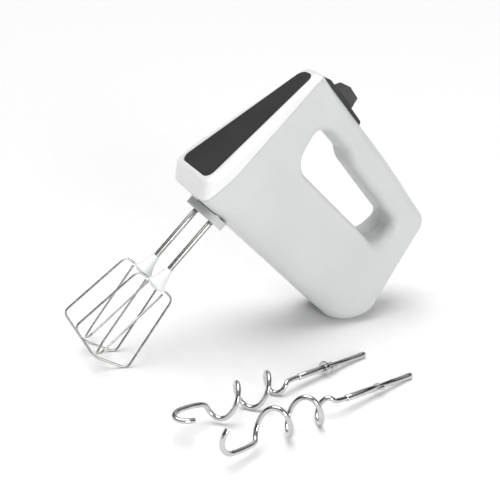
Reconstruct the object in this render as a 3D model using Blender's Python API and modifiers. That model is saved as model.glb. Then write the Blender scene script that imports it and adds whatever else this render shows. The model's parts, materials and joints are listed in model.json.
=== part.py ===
"""Hand mixer with a through-handle, leaning on its heel and its beaters, and its two dough hooks.

Mixer frame: +X to the rear, +Y across, +Z up along the spindles, origin between the spindles at
the lower face of the socket collar. An empty turns that frame into the leaning rest position, in
which the heel and the beaters touch z = 0.
"""
import math

import bmesh
import bpy
from mathutils import Matrix, Vector

mm = 0.001

# Driving dimensions.
spindle_spacing = 28.0 * mm
wall = 2.4 * mm
gap = 0.3 * mm
collar_height = 6.8 * mm
motor_axis_z = 32.0 * mm             # height of the motor shaft above the collar face
motor_shaft_radius = 2.5 * mm
stem_radius = 2.4 * mm               # beater stems
beater_wire_radius = 0.9 * mm
beater_disc_z = -65.0 * mm           # wide edge of the beater hub
beater_tip_z = -141.0 * mm
beater_phase = math.radians(18.0)    # both beaters' turn at rest, which lets the loops intermesh
hook_wire_radius = 2.0 * mm
hook_stem_radius = 2.6 * mm
hook_stem_length = 77.0 * mm
hook_radius = 12.4                   # reach of the hook's coils above and below the axis, mm
hook_side_radius = 8.5               # and to either side of it
hook_rise = 10.0                     # length over which the wire climbs to that radius, mm
hook_tip_run = 20.7                  # straight run before the tip's bend, mm
hook_heading = 14.4                  # degrees from the mixer's plane to the hooks
left_hook_end = (128.0, -126.4)      # stem's end on the floor from below the spindles, mm
right_hook_end = (111.2, -83.5)
inlet_z = 96.0 * mm                  # height of the cord inlet's centre
worm_wheel_teeth = 15

# Side outline of the body, as corners (x, z, corner radius), front foot first, anticlockwise
# seen from the left side.
body_corners = [
    (-37.0, 20.5, 4.5),     # lower edge of the sloping front face
    (-27.5, 7.6, 3.5),      # chin
    (184.5, 4.6, 32.0),     # heel
    (177.6, 129.9, 13.0),   # rear end of the handle
    (92.0, 139.6, 200.0),   # slight crown along the handle
    (-12.6, 147.6, 8.0),    # top of the front face
]

# Side outline of the finger opening.
opening_corners = [
    (18.0, 78.0, 15.0),
    (146.0, 78.0, 13.0),
    (144.5, 105.2, 9.0),
    (68.0, 111.8, 24.0),
    (56.0, 117.5, 12.0),
    (22.0, 118.3, 13.0),
]
outline_centre = Vector((82.0, 96.0))

# Line between the front bezel and the side shells, (x, z) from below to above.
bezel_line = [(-26.9, -20.0), (-26.6, 9.0), (-24.4, 20.0), (-22.0, 37.0), (-9.5, 137.0),
              (-6.0, 150.0), (-6.0, 175.0)]

front_foot = Vector((-35.5, 0.0, 23.3)) * mm    # lower end of the front face
front_lean = math.radians(10.4)
top_point = Vector((0.0, 0.0, 146.7)) * mm      # a point on the handle's top line
top_slope = math.radians(5.3)

screw_places = [(33.4, 21.0), (157.0, 24.0), (156.5, 112.0), (8.6, 108.0)]


# Scene, collections, materials.

def clear_scene():
    for item in list(bpy.data.objects):
        bpy.data.objects.remove(item, do_unlink=True)


def make_collection(name):
    collection = bpy.data.collections.new(name)
    bpy.context.scene.collection.children.link(collection)
    return collection


def material(name, color, roughness, metallic=0.0):
    found = bpy.data.materials.get(name)
    if found:
        return found
    made = bpy.data.materials.new(name)
    made.use_nodes = True
    shader = made.node_tree.nodes["Principled BSDF"]
    shader.inputs["Base Color"].default_value = (*color, 1.0)
    shader.inputs["Roughness"].default_value = roughness
    shader.inputs["Metallic"].default_value = metallic
    return made


def shell_grey():
    return material("shell_grey", (0.80, 0.82, 0.81), 0.45)


def bezel_white():
    return material("bezel_white", (0.92, 0.92, 0.92), 0.35)


def charcoal():
    return material("charcoal", (0.055, 0.055, 0.058), 0.5)


def collar_grey():
    return material("collar_grey", (0.55, 0.56, 0.56), 0.5)


def chrome():
    return material("chrome", (0.72, 0.72, 0.70), 0.15, 1.0)


def hub_white():
    return material("hub_white", (0.84, 0.86, 0.85), 0.4)


def steel():
    return material("steel", (0.5, 0.5, 0.52), 0.35, 1.0)


def lamination():
    return material("lamination", (0.30, 0.31, 0.33), 0.5, 1.0)


def copper():
    return material("copper", (0.72, 0.35, 0.16), 0.35, 1.0)


def carbon():
    return material("carbon", (0.03, 0.03, 0.03), 0.7)


def nylon():
    return material("nylon", (0.82, 0.80, 0.74), 0.5)


def black_plastic():
    return material("black_plastic", (0.03, 0.03, 0.03), 0.5)


# Mesh helpers.

def add_object(name, mesh, look, parent=None, location=(0.0, 0.0, 0.0), collection=None):
    item = bpy.data.objects.new(name, mesh)
    (collection or parts).objects.link(item)
    item.parent = parent
    item.location = location
    if look:
        mesh.materials.append(look)
    return item


def finish_mesh(bm, name, smooth=True):
    bmesh.ops.recalc_face_normals(bm, faces=bm.faces)
    mesh = bpy.data.meshes.new(name)
    bm.to_mesh(mesh)
    bm.free()
    if smooth:
        mesh.shade_smooth()
        mesh.set_sharp_from_angle(angle=math.radians(35))
    return mesh


def box_mesh(name, low, high):
    bm = bmesh.new()
    size = Vector(high) - Vector(low)
    middle = (Vector(high) + Vector(low)) / 2
    bmesh.ops.create_cube(bm, size=1.0, matrix=Matrix.Translation(middle) @ Matrix.Diagonal((*size, 1.0)))
    return finish_mesh(bm, name, smooth=False)


def cylinder_into(bm, start, end, radius, sides=20):
    start = Vector(start)
    end = Vector(end)
    axis = end - start
    turn = axis.to_track_quat("Z", "Y").to_matrix().to_4x4()
    place = Matrix.Translation((start + end) / 2) @ turn
    bmesh.ops.create_cone(bm, cap_ends=True, segments=sides, radius1=radius, radius2=radius,
                          depth=axis.length, matrix=place)


def cylinder_mesh(name, start, end, radius, sides=20):
    bm = bmesh.new()
    cylinder_into(bm, start, end, radius, sides)
    return finish_mesh(bm, name)


def extruded_mesh(name, outline, axis, low, high, holes=()):
    """Prism between low and high along axis; outline and holes are 2D points in the other two axes."""
    bm = bmesh.new()
    others = [i for i in range(3) if i != axis]
    loops = []
    for loop_points in [outline, *holes]:
        vertices = []
        for first, second in loop_points:
            place = [0.0, 0.0, 0.0]
            place[others[0]] = first
            place[others[1]] = second
            place[axis] = low
            vertices.append(bm.verts.new(place))
        loops.append([bm.edges.new((vertices[i - 1], vertices[i])) for i in range(len(vertices))])
    edges = [edge for loop in loops for edge in loop]
    bmesh.ops.triangle_fill(bm, edges=edges, use_beauty=True)
    shift = Vector((0.0, 0.0, 0.0))
    shift[axis] = high - low
    grown = bmesh.ops.extrude_face_region(bm, geom=bm.faces[:])
    moved = [part for part in grown["geom"] if isinstance(part, bmesh.types.BMVert)]
    bmesh.ops.translate(bm, verts=moved, vec=shift)
    return finish_mesh(bm, name)


def turned_object(name, profile, look, parent, location=(0.0, 0.0, 0.0), steps=24):
    """Solid of revolution about the object's Z; profile runs down its outer side, as (radius, z)."""
    bm = bmesh.new()
    vertices = [bm.verts.new((radius, 0.0, height)) for radius, height in profile]
    for first, second in zip(vertices, vertices[1:]):
        bm.edges.new((first, second))
    mesh = bpy.data.meshes.new(name)
    bm.to_mesh(mesh)
    bm.free()
    item = add_object(name, mesh, look, parent, location)
    screw = item.modifiers.new("Turn", "SCREW")
    screw.axis = "Z"
    screw.steps = steps
    screw.render_steps = steps
    screw.use_merge_vertices = True
    screw.merge_threshold = 0.00001
    screw.use_smooth_shade = False
    return item


def ring_profile(inner, outer, low, high):
    return [(inner, low), (inner, high), (outer, high), (outer, low), (inner, low)]


def cutter(name, mesh, parent=None):
    item = add_object(name, mesh, None, parent, collection=cutters)
    item.hide_render = True
    item.display_type = "WIRE"
    return item


def cut(item, tool, operation="DIFFERENCE"):
    change = item.modifiers.new(tool.name, "BOOLEAN")
    change.operation = operation
    change.solver = "EXACT"
    change.object = tool
    return change


def tube_object(name, points, radius, look, parent=None, cyclic=False):
    """Round wire along points, as a curve with filled ends."""
    curve = bpy.data.curves.new(name, "CURVE")
    curve.dimensions = "3D"
    curve.bevel_depth = radius
    curve.bevel_resolution = 2
    curve.use_fill_caps = not cyclic
    spline = curve.splines.new("POLY")
    spline.points.add(len(points) - 1)
    for slot, place in zip(spline.points, points):
        slot.co = (*place, 1.0)
    spline.use_cyclic_u = cyclic
    curve.materials.append(look)
    item = bpy.data.objects.new(name, curve)
    parts.objects.link(item)
    item.parent = parent
    return item


def rounded_outline(corners, arc_step=22.5):
    """Closed polygon with its corners replaced by arcs; corners are (x, z, radius)."""
    points = []
    count = len(corners)
    for index, (x, z, radius) in enumerate(corners):
        corner = Vector((x, z))
        before = (Vector(corners[index - 1][:2]) - corner).normalized()
        after = (Vector(corners[(index + 1) % count][:2]) - corner).normalized()
        half = before.angle(after) / 2
        centre = corner + (before + after).normalized() * radius / math.sin(half)
        start = corner + before * radius / math.tan(half) - centre
        end = corner + after * radius / math.tan(half) - centre
        first = math.atan2(start.y, start.x)
        sweep = (math.atan2(end.y, end.x) - first + math.pi) % (2 * math.pi) - math.pi
        pieces = max(2, math.ceil(abs(sweep) / math.radians(arc_step)))
        for step in range(pieces + 1):
            angle = first + sweep * step / pieces
            points.append(centre + Vector((math.cos(angle), math.sin(angle))) * radius)
    return points


# The body's skin: a sheet from the outer outline, over the side, into the finger opening.

def half_width(z):
    """Half the body's width at height z (mm): broad low down, narrow at the handle."""
    if z < 38.0:
        return 32.7 - 0.002 * (38.0 - z) ** 2
    return 32.7 - 0.18 * (z - 38.0)


def ray_hit(points, direction):
    """Distance from the outline's centre along direction to the closed outline."""
    best = None
    for index, point in enumerate(points):
        first = points[index - 1] - outline_centre
        edge = point - points[index - 1]
        cross = direction.x * edge.y - direction.y * edge.x
        if abs(cross) < 1e-9:
            continue
        along = (first.x * edge.y - first.y * edge.x) / cross
        part = (first.x * direction.y - first.y * direction.x) / cross
        if along > 0.0 and -1e-6 <= part <= 1.0 + 1e-6:
            best = along if best is None else max(best, along)
    return best


def ray_angles(outlines, coarse=9.0, fine=1.6):
    """Angles from the outline's centre that meet every corner arc, with the long gaps filled."""
    angles = sorted(math.degrees(math.atan2(*(point - outline_centre).yx)) % 360.0
                    for outline in outlines for point in outline)
    kept = [angles[0]]
    for angle in angles[1:]:
        if angle - kept[-1] >= fine:
            kept.append(angle)
    filled = []
    for index, angle in enumerate(kept):
        following = kept[index + 1] if index + 1 < len(kept) else kept[0] + 360.0
        pieces = max(1, round((following - angle) / coarse))
        filled += [angle + (following - angle) * step / pieces for step in range(pieces)]
    return [math.radians(angle) for angle in filled]


def edge_rounding(point):
    """In-plane and sideways rounding (mm) where the side meets the outer outline at point."""
    if point.x < -24.0 and point.y < 24.0:
        return 6.0, 8.0
    if point.x < -5.0 and point.y < 150.0 and point.y > 10.0:
        return 7.0, 5.5
    if point.y < 12.0:
        return 20.0, 15.0
    if point.x > 150.0:
        return 12.0, 14.0
    return 10.0, 10.0


def opening_rounding(point):
    """The same where the side meets the finger opening: soft under the handle, crisp below."""
    lift = min(1.0, max(0.0, (point.y - 92.0) / 18.0))
    rear = min(1.0, max(0.0, (point.x - 120.0) / 20.0)) * (1.0 - lift)
    inward = 4.0 + 8.5 * lift + 4.0 * rear
    sideways = 4.5 + 9.0 * lift + 6.0 * rear
    return inward, sideways


def normals_of(ring):
    result = []
    for index in range(len(ring)):
        along = ring[(index + 1) % len(ring)] - ring[index - 1]
        result.append(Vector((along.y, -along.x)).normalized())
    return result


def ring_on(outline):
    """The outline (mm) sampled along the rays that the body and the opening share."""
    outlines = [rounded_outline(body_corners), rounded_outline(opening_corners)]
    directions = [Vector((math.cos(angle), math.sin(angle))) for angle in ray_angles(outlines)]
    return [outline_centre + direction * ray_hit(outline, direction) for direction in directions]


def body_ring():
    return ring_on(rounded_outline(body_corners))


def skin_rows(inset, arc_steps):
    """Columns of (point, half width) in mm, from the outer mid-line over the side to the opening's."""
    outer_ring = body_ring()
    inner_ring = ring_on(rounded_outline(opening_corners))
    columns = []
    outer_normals = normals_of(outer_ring)
    inner_normals = normals_of(inner_ring)
    for outer, inner, out_normal, in_normal in zip(outer_ring, inner_ring, outer_normals, inner_normals):
        column = []
        start = outer - out_normal * inset
        end = inner + in_normal * inset
        for place, normal, sign, rounding in ((start, out_normal, -1.0, edge_rounding(outer)),
                                              (end, in_normal, 1.0, opening_rounding(inner))):
            inward = max(1.0, rounding[0] - inset)
            sideways = max(1.0, rounding[1] - inset)
            arc = [(place, 0.0, True)]
            for step in range(arc_steps + 1):
                turn = math.pi / 2 * step / arc_steps
                moved = place + normal * sign * inward * (1.0 - math.cos(turn))
                arc.append((moved, sideways * (1.0 - math.sin(turn)), False))
            column.append([(point, 0.0 if flat else max(0.0, half_width(point.y) - inset - drop))
                           for point, drop, flat in arc])
        outer_arc, inner_arc = column
        first = outer_arc[-1][0]
        last = inner_arc[-1][0]
        middle = first.lerp(last, 0.5)
        columns.append(outer_arc + [(middle, half_width(middle.y) - inset)] + inner_arc[::-1])
    return columns


def sheet_vertices(bm, columns, side, lift):
    """Vertices of one side's sheet; side is +1 or -1 and lift keeps it off the mid-plane."""
    grid = []
    for column in columns:
        grid.append([bm.verts.new((point.x * mm, side * max(width * mm, lift), point.y * mm))
                     for point, width in column])
    return grid


def sheet_faces(bm, grid):
    count = len(grid)
    for index in range(count):
        here = grid[index]
        following = grid[(index + 1) % count]
        for row in range(len(here) - 1):
            bm.faces.new((here[row], following[row], following[row + 1], here[row + 1]))


def join_rims(bm, first, second, row):
    count = len(first)
    for index in range(count):
        following = (index + 1) % count
        bm.faces.new((first[index][row], first[following][row],
                      second[following][row], second[index][row]))


def side_shell_mesh(name, side):
    """Half of the body as a closed wall, open along the mid-plane."""
    bm = bmesh.new()
    lift = gap / 2
    outside = sheet_vertices(bm, skin_rows(0.0, 3), side, lift)
    inside = sheet_vertices(bm, skin_rows(wall / mm, 2), side, lift)
    sheet_faces(bm, outside)
    sheet_faces(bm, inside)
    join_rims(bm, outside, inside, 0)
    join_rims(bm, outside, inside, -1)
    return finish_mesh(bm, name)


def full_skin_mesh(name, inset, arc_steps):
    """The whole body as one closed surface, set in by inset."""
    bm = bmesh.new()
    columns = skin_rows(inset / mm, arc_steps)
    left = sheet_vertices(bm, columns, -1.0, 0.0)
    right = sheet_vertices(bm, columns, 1.0, 0.0)
    sheet_faces(bm, left)
    sheet_faces(bm, right)
    bmesh.ops.remove_doubles(bm, verts=bm.verts, dist=0.000001)
    return finish_mesh(bm, name)


def bezel_zone_mesh(name, shift):
    """Prism ahead of the bezel line, moved back by shift."""
    outline = [(x * mm + shift, z * mm) for x, z in bezel_line]
    outline += [(-70 * mm, 175 * mm), (-70 * mm, -20 * mm)]
    return extruded_mesh(name, outline, 1, -60 * mm, 60 * mm)


def panel_outline(grow=0.0):
    """Teardrop of the front panel in the front face's plane, as (y, along)."""
    corners = [(-25.8, 0.4, 7.0), (25.8, 0.4, 7.0), (8.4, 119.5, 7.5), (-8.4, 119.5, 7.5)]
    points = rounded_outline(corners, 15.0)
    middle = Vector((0.0, 60.0))
    return [point + (point - middle).normalized() * grow for point in points]


# Frames that pieces are placed in.

def empty(name, parent, matrix):
    item = bpy.data.objects.new(name, None)
    parts.objects.link(item)
    item.parent = parent
    item.matrix_local = matrix
    return item


def height_after(point, angle):
    """Height of (x, z) after the mixer is turned back by angle about Y."""
    return point.y * math.cos(angle) - point.x * math.sin(angle)


def lean_matrix():
    """Mixer frame to world: the lean at which the heel and the beaters' lowest wires both reach z = 0."""
    heel = [point * mm for point in body_ring()]
    paths = wide_loop_path() + crossed_loop_path()
    wires = [Vector((point.x, point.z)) for point in paths]
    low, high = math.radians(35.0), math.radians(60.0)
    for _ in range(40):
        angle = (low + high) / 2
        heel_height = min(height_after(point, angle) for point in heel)
        wire_height = min(height_after(point, angle) for point in wires) - beater_wire_radius
        if heel_height > wire_height:
            low = angle
        else:
            high = angle
    return Matrix.Translation((0.0, 0.0, -heel_height)) @ Matrix.Rotation(angle, 4, "Y")


def centre_on_floor(root):
    """Moves everything so that the origin lies below the middle of the whole object."""
    bpy.context.view_layer.update()
    graph = bpy.context.evaluated_depsgraph_get()
    corners = []
    for item in parts.objects:
        if item.type in {"MESH", "CURVE"}:
            mesh = bpy.data.meshes.new_from_object(item.evaluated_get(graph))
            corners += [item.matrix_world @ vertex.co for vertex in mesh.vertices]
            bpy.data.meshes.remove(mesh)
    root.location.x = -(min(c.x for c in corners) + max(c.x for c in corners)) / 2
    root.location.y = -(min(c.y for c in corners) + max(c.y for c in corners)) / 2


# Housing.

def build_housing(mixer, front_frame, top_frame):
    zone_back = cutter("bezel_zone_back", bezel_zone_mesh("bezel_zone_back", gap / 2), mixer)
    zone_front = cutter("bezel_zone_front", bezel_zone_mesh("bezel_zone_front", -gap / 2), mixer)
    strip_pocket = cutter("strip_pocket", box_mesh("strip_pocket", (-4.4 * mm, -8.8 * mm, -1.5 * mm),
                                                   (52.7 * mm, 8.8 * mm, 12 * mm)), top_frame)
    neck_slot = cutter("neck_slot", box_mesh("neck_slot", (7 * mm, -2.6 * mm, -9 * mm),
                                             (48 * mm, 2.6 * mm, 14 * mm)), top_frame)
    for side, name in ((-1.0, "left_housing"), (1.0, "right_housing")):
        shell = add_object(name, side_shell_mesh(name, side), shell_grey(), mixer)
        cut(shell, bosses_tool(side, mixer), "UNION")
        cut(shell, zone_back)
        cut(shell, strip_pocket)
        cut(shell, neck_slot)
        cut(shell, socket_tool(side, mixer))
        cut(shell, screw_holes_tool(side, mixer))
        if side > 0:
            cut(shell, clearance_tool(mixer))
        cut(shell, inlet_tool(side, mixer))
    build_bezel(mixer, front_frame, zone_front)
    build_strip(top_frame, neck_slot)


def wall_y(x, z):
    """Distance of the wall's middle from the mid-plane at a screw boss (m)."""
    return (half_width(z) - wall / mm / 2) * mm


def bosses_tool(side, mixer):
    radius = (4.6 if side > 0 else 3.6) * mm
    bm = bmesh.new()
    for x, z in screw_places:
        inner_end = (x * mm, side * gap / 2, z * mm)
        outer_end = (x * mm, side * wall_y(x, z), z * mm)
        cylinder_into(bm, inner_end, outer_end, radius, 16)
    return cutter(f"bosses_{'right' if side > 0 else 'left'}", finish_mesh(bm, "bosses"), mixer)


def screw_holes_tool(side, mixer):
    """Pilot holes on the left; clearance holes with deep counterbores on the right."""
    bm = bmesh.new()
    for x, z in screw_places:
        if side < 0:
            cylinder_into(bm, (x * mm, 1 * mm, z * mm), (x * mm, -9 * mm, z * mm), 1.9 * mm, 12)
        else:
            cylinder_into(bm, (x * mm, 5.5 * mm, z * mm), (x * mm, 45 * mm, z * mm), 3.4 * mm, 16)
    tool = cutter(f"screw_holes_{'right' if side > 0 else 'left'}", finish_mesh(bm, "screw_holes"), mixer)
    return tool


def clearance_tool(mixer):
    bm = bmesh.new()
    for x, z in screw_places:
        cylinder_into(bm, (x * mm, -1 * mm, z * mm), (x * mm, 7 * mm, z * mm), 1.9 * mm, 12)
    return cutter("screw_clearance", finish_mesh(bm, "screw_clearance"), mixer)


def socket_tool(side, mixer):
    y = side * spindle_spacing / 2
    mesh = cylinder_mesh("socket_hole", (0, y, -5 * mm), (0, y, 11.5 * mm), 6.2 * mm, 20)
    return cutter(f"socket_hole_{'right' if side > 0 else 'left'}", mesh, mixer)



def inlet_tool(side, mixer):
    mesh = cylinder_mesh("inlet_hole", (165 * mm, 0, inlet_z), (195 * mm, 0, inlet_z), 5.6 * mm, 20)
    return cutter(f"inlet_hole_{'right' if side > 0 else 'left'}", mesh, mixer)


def build_bezel(mixer, front_frame, zone_front):
    bezel = add_object("front_bezel", full_skin_mesh("front_bezel", 0.0, 3), bezel_white(), mixer)
    core = cutter("bezel_core", full_skin_mesh("bezel_core", 2.6 * mm, 2), mixer)
    recess_line = [point * mm for point in panel_outline(0.4)]
    recess = cutter("panel_recess", extruded_mesh("panel_recess", recess_line, 0, -6 * mm, 1.5 * mm),
                    front_frame)
    cut(bezel, core)
    cut(bezel, zone_front, "INTERSECT")
    cut(bezel, recess)
    outline = [point * mm for point in panel_outline(0.0)]
    add_object("front_panel", extruded_mesh("front_panel", outline, 0, -0.5 * mm, 1.2 * mm),
               charcoal(), front_frame)


def build_strip(top_frame, neck_slot):
    profile = [(-4.0, -1.2), (52.3, -1.2), (52.3, 0.9), (50.3, 2.8), (1.5, 2.8), (-4.0, 0.2)]
    mesh = extruded_mesh("control_strip", [(x * mm, z * mm) for x, z in profile], 1, -8.4 * mm, 8.4 * mm)
    strip = add_object("control_strip", mesh, charcoal(), top_frame)
    cut(strip, neck_slot)


def build_selector(top_frame):
    """Thumb knob over the strip, with a neck through the slot and a shoe inside the handle."""
    corners = [(13.2, 3.1, 0.6), (35.4, 3.1, 0.6), (33.2, 12.0, 1.6), (19.2, 12.6, 2.2)]
    outline = [(point.x * mm, point.y * mm) for point in rounded_outline(corners, 30.0)]
    knob = add_object("selector_knob", extruded_mesh("selector_knob", outline, 1, -7.2 * mm, 7.2 * mm),
                      charcoal(), top_frame)
    neck = cutter("knob_neck", box_mesh("knob_neck", (19 * mm, -2.2 * mm, -4.2 * mm),
                                        (29 * mm, 2.2 * mm, 5 * mm)), top_frame)
    cut(knob, neck, "UNION")
    shoe = box_mesh("selector_shoe", (16 * mm, -5 * mm, -7.0 * mm), (32 * mm, 5 * mm, -4.5 * mm))
    add_object("selector_shoe", shoe, nylon(), top_frame)
    switch = box_mesh("speed_switch", (4 * mm, -7 * mm, -18 * mm), (44 * mm, 7 * mm, -7.6 * mm))
    add_object("speed_switch", switch, black_plastic(), top_frame)


def build_screws(mixer):
    """Pan-head screws from the right side into the left bosses."""
    for number, (x, z) in enumerate(screw_places, 1):
        bm = bmesh.new()
        profile_place = Matrix.Translation((x * mm, 0.0, z * mm))
        cylinder_into(bm, (0, -8 * mm, 0), (0, 6.0 * mm, 0), 1.5 * mm, 10)
        shank = finish_mesh(bm, f"housing_screw_{number}")
        screw = add_object(f"housing_screw_{number}", shank, steel(), mixer, profile_place.translation)
        head = cutter(f"screw_head_{number}", cylinder_mesh("screw_head", (0, 5.8 * mm, 0), (0, 8.0 * mm, 0),
                                                            2.9 * mm, 14), screw)
        cut(screw, head, "UNION")


def stadium(radius, half_span, pieces=10):
    """Outline (x, y) of two half circles joined by straight sides, long axis along y."""
    points = []
    for step in range(pieces + 1):
        angle = math.pi * step / pieces
        points.append(Vector((radius * math.cos(angle), half_span + radius * math.sin(angle))))
    for step in range(pieces + 1):
        angle = math.pi + math.pi * step / pieces
        points.append(Vector((radius * math.cos(angle), -half_span + radius * math.sin(angle))))
    return points


def circle(radius, centre=(0.0, 0.0), pieces=20):
    return [(centre[0] + radius * math.cos(2 * math.pi * i / pieces),
             centre[1] + radius * math.sin(2 * math.pi * i / pieces)) for i in range(pieces)]


def build_collar(mixer):
    half = spindle_spacing / 2
    holes = [circle(5.2 * mm, (0.0, side * half)) for side in (-1, 1)]
    mesh = extruded_mesh("socket_collar", stadium(10.4 * mm, half), 2, 0.0, collar_height, holes)
    add_object("socket_collar", mesh, collar_grey(), mixer)


# Gearbox.

def toothed_outline(teeth, root, tip):
    points = []
    for tooth in range(teeth):
        for part, radius in ((-0.34, root), (-0.16, tip), (0.16, tip), (0.34, root)):
            angle = 2 * math.pi * (tooth + part) / teeth
            points.append((radius * math.cos(angle), radius * math.sin(angle)))
    return points


def build_gearbox(mixer):
    low = (-13 * mm, -24.4 * mm, 17 * mm)
    high = (16 * mm, 24.4 * mm, 41 * mm)
    case = add_object("gearbox_case", box_mesh("gearbox_case", low, high), nylon(), mixer)
    skin = 1.2 * mm
    inside = [value + skin for value in low], [high[0] - skin, high[1] - skin, high[2] + skin]
    cut(case, cutter("gearbox_inside", box_mesh("gearbox_inside", *inside), mixer))
    for side, word in ((-1, "left"), (1, "right")):
        y = side * spindle_spacing / 2
        hole = cylinder_mesh("case_hole", (0, y, 12 * mm), (0, y, 21 * mm), 6.8 * mm)
        cut(case, cutter(f"case_hole_{word}", hole, mixer))
    shaft_hole = cylinder_mesh("shaft_hole", (12 * mm, 0, motor_axis_z), (19 * mm, 0, motor_axis_z),
                               6.2 * mm)
    cut(case, cutter("shaft_hole", shaft_hole, mixer))
    lid = add_object("gearbox_lid", box_mesh("gearbox_lid", (low[0], low[1], high[2] + gap),
                                             (high[0], high[1], high[2] + gap + 2.5 * mm)), nylon(), mixer)
    for side, word in ((-1, "left"), (1, "right")):
        y = side * spindle_spacing / 2
        bore = cylinder_mesh("lid_hole", (0, y, 40 * mm), (0, y, 46 * mm), 5.0 * mm)
        cut(lid, cutter(f"lid_hole_{word}", bore,
                        mixer))


def build_spindle(mixer, side, word):
    """Drive socket that holds a beater's stem, its bush and its worm wheel; origins on the axis."""
    place = (0.0, side * spindle_spacing / 2, 0.0)
    tube = ring_profile(2.7 * mm, 4.5 * mm, 1.5 * mm, 45.5 * mm)
    turned_object(f"{word}_spindle", tube, steel(), mixer, place, 20)
    turned_object(f"{word}_spindle_bush", ring_profile(4.9 * mm, 6.5 * mm, 14.5 * mm, 19.5 * mm), nylon(),
                  mixer, place, 20)
    middle = motor_axis_z
    mesh = extruded_mesh(f"{word}_worm_wheel", toothed_outline(worm_wheel_teeth, 7.4 * mm, 8.8 * mm), 2,
                         middle - 5 * mm, middle + 5 * mm, [circle(4.8 * mm)])
    add_object(f"{word}_worm_wheel", mesh, nylon(), mixer, place)


def build_ejector(mixer):
    """Yoke over the spindles whose two pins push the stems out, on a central push rod."""
    half = spindle_spacing / 2
    outline = stadium(3.6 * mm, half, 8)
    yoke = add_object("ejector_yoke", extruded_mesh("ejector_yoke", outline, 2, 50.5 * mm, 52.5 * mm),
                      nylon(), mixer)
    bm = bmesh.new()
    for side in (-1, 1):
        cylinder_into(bm, (0, side * half, 43.5 * mm), (0, side * half, 51 * mm), 1.9 * mm, 12)
    cylinder_into(bm, (0, 0, 52 * mm), (0, 0, 118 * mm), 2.0 * mm, 12)
    cut(yoke, cutter("yoke_pins", finish_mesh(bm, "yoke_pins"), mixer), "UNION")


# Motor, with its origin pieces turned to lie along X.

def along_x(mixer):
    turn = Matrix.Rotation(math.pi / 2, 4, "Y")
    return empty("motor_axis", mixer, Matrix.Translation((0, 0, motor_axis_z)) @ turn)


def build_motor(mixer):
    axis = along_x(mixer)
    hole = motor_shaft_radius + gap
    turned_object("motor_shaft", [(0, 120 * mm), (motor_shaft_radius, 120 * mm),
                                  (motor_shaft_radius, -11 * mm), (0, -11 * mm)], steel(), axis, steps=16)
    turned_object("front_bearing", ring_profile(hole, 7 * mm, 22 * mm, 28 * mm), steel(), axis)
    turned_object("rear_bearing", ring_profile(hole, 7 * mm, 110.5 * mm, 116.5 * mm), steel(), axis)
    turned_object("front_winding", [(hole, 52 * mm), (hole, 57.2 * mm), (11.5 * mm, 57.2 * mm),
                                    (11.0 * mm, 53.5 * mm), (8 * mm, 52 * mm), (hole, 52 * mm)],
                  copper(), axis)
    turned_object("rear_winding", [(hole, 88.8 * mm), (hole, 94.5 * mm), (8 * mm, 94.5 * mm),
                                   (11.0 * mm, 93 * mm), (11.5 * mm, 88.8 * mm), (hole, 88.8 * mm)],
                  copper(), axis)
    turned_object("commutator", ring_profile(hole, 8 * mm, 95.2 * mm, 107 * mm), copper(), axis)
    core = extruded_mesh("armature_core", toothed_outline(12, 11.6 * mm, 13.7 * mm), 2, 57.6 * mm, 88.4 * mm,
                         [circle(hole, pieces=16)])
    add_object("armature_core", core, lamination(), axis)
    fan = extruded_mesh("cooling_fan", toothed_outline(9, 8 * mm, 18 * mm), 2, 41 * mm, 47 * mm,
                        [circle(hole, pieces=16)])
    add_object("cooling_fan", fan, nylon(), axis)
    build_worm(axis)
    build_stator(mixer, axis)
    build_brushes(mixer)
    for word, x in (("front", 23.5), ("rear", 112.0)):
        plate = box_mesh(f"{word}_motor_bracket", (x * mm, -21 * mm, 15 * mm),
                         ((x + 3) * mm, 21 * mm, 52 * mm))
        bracket = add_object(f"{word}_motor_bracket", plate, steel(), mixer)
        bore = cylinder_mesh("bracket_bore", ((x - 2) * mm, 0, motor_axis_z),
                             ((x + 5) * mm, 0, motor_axis_z), 7.3 * mm)
        cut(bracket, cutter(f"{word}_bracket_bore", bore, mixer))


def build_worm(axis):
    """Sleeve with one raised helical thread."""
    turns = 4
    per_turn = 8
    pitch = 3.8 * mm
    base = add_object("worm", ring_mesh("worm", motor_shaft_radius + gap, 4.1 * mm, -10.5 * mm, 10.5 * mm),
                      steel(), axis)
    points = []
    for step in range(turns * per_turn + 1):
        angle = 2 * math.pi * step / per_turn
        height = (step / per_turn - turns / 2) * pitch
        points.append(Vector((4.1 * mm * math.cos(angle), 4.1 * mm * math.sin(angle), height)))
    thread = tube_mesh("worm_thread", points, 0.75 * mm, 0)
    cut(base, cutter("worm_thread", thread, axis), "UNION")


def ring_mesh(name, inner, outer, low, high, pieces=20):
    return extruded_mesh(name, circle(outer, pieces=pieces), 2, low, high, [circle(inner, pieces=pieces)])


def tube_mesh(name, points, radius, roundness):
    """A wire made a mesh, with its end caps welded on, for use in a Boolean."""
    wire = tube_object(name, points, radius, steel())
    wire.data.bevel_resolution = roundness
    bpy.context.view_layer.update()
    evaluated = wire.evaluated_get(bpy.context.evaluated_depsgraph_get())
    mesh = bpy.data.meshes.new_from_object(evaluated)
    bpy.data.objects.remove(wire, do_unlink=True)
    bm = bmesh.new()
    bm.from_mesh(mesh)
    bmesh.ops.remove_doubles(bm, verts=bm.verts, dist=0.000001)
    return finish_mesh(bm, name)


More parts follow.
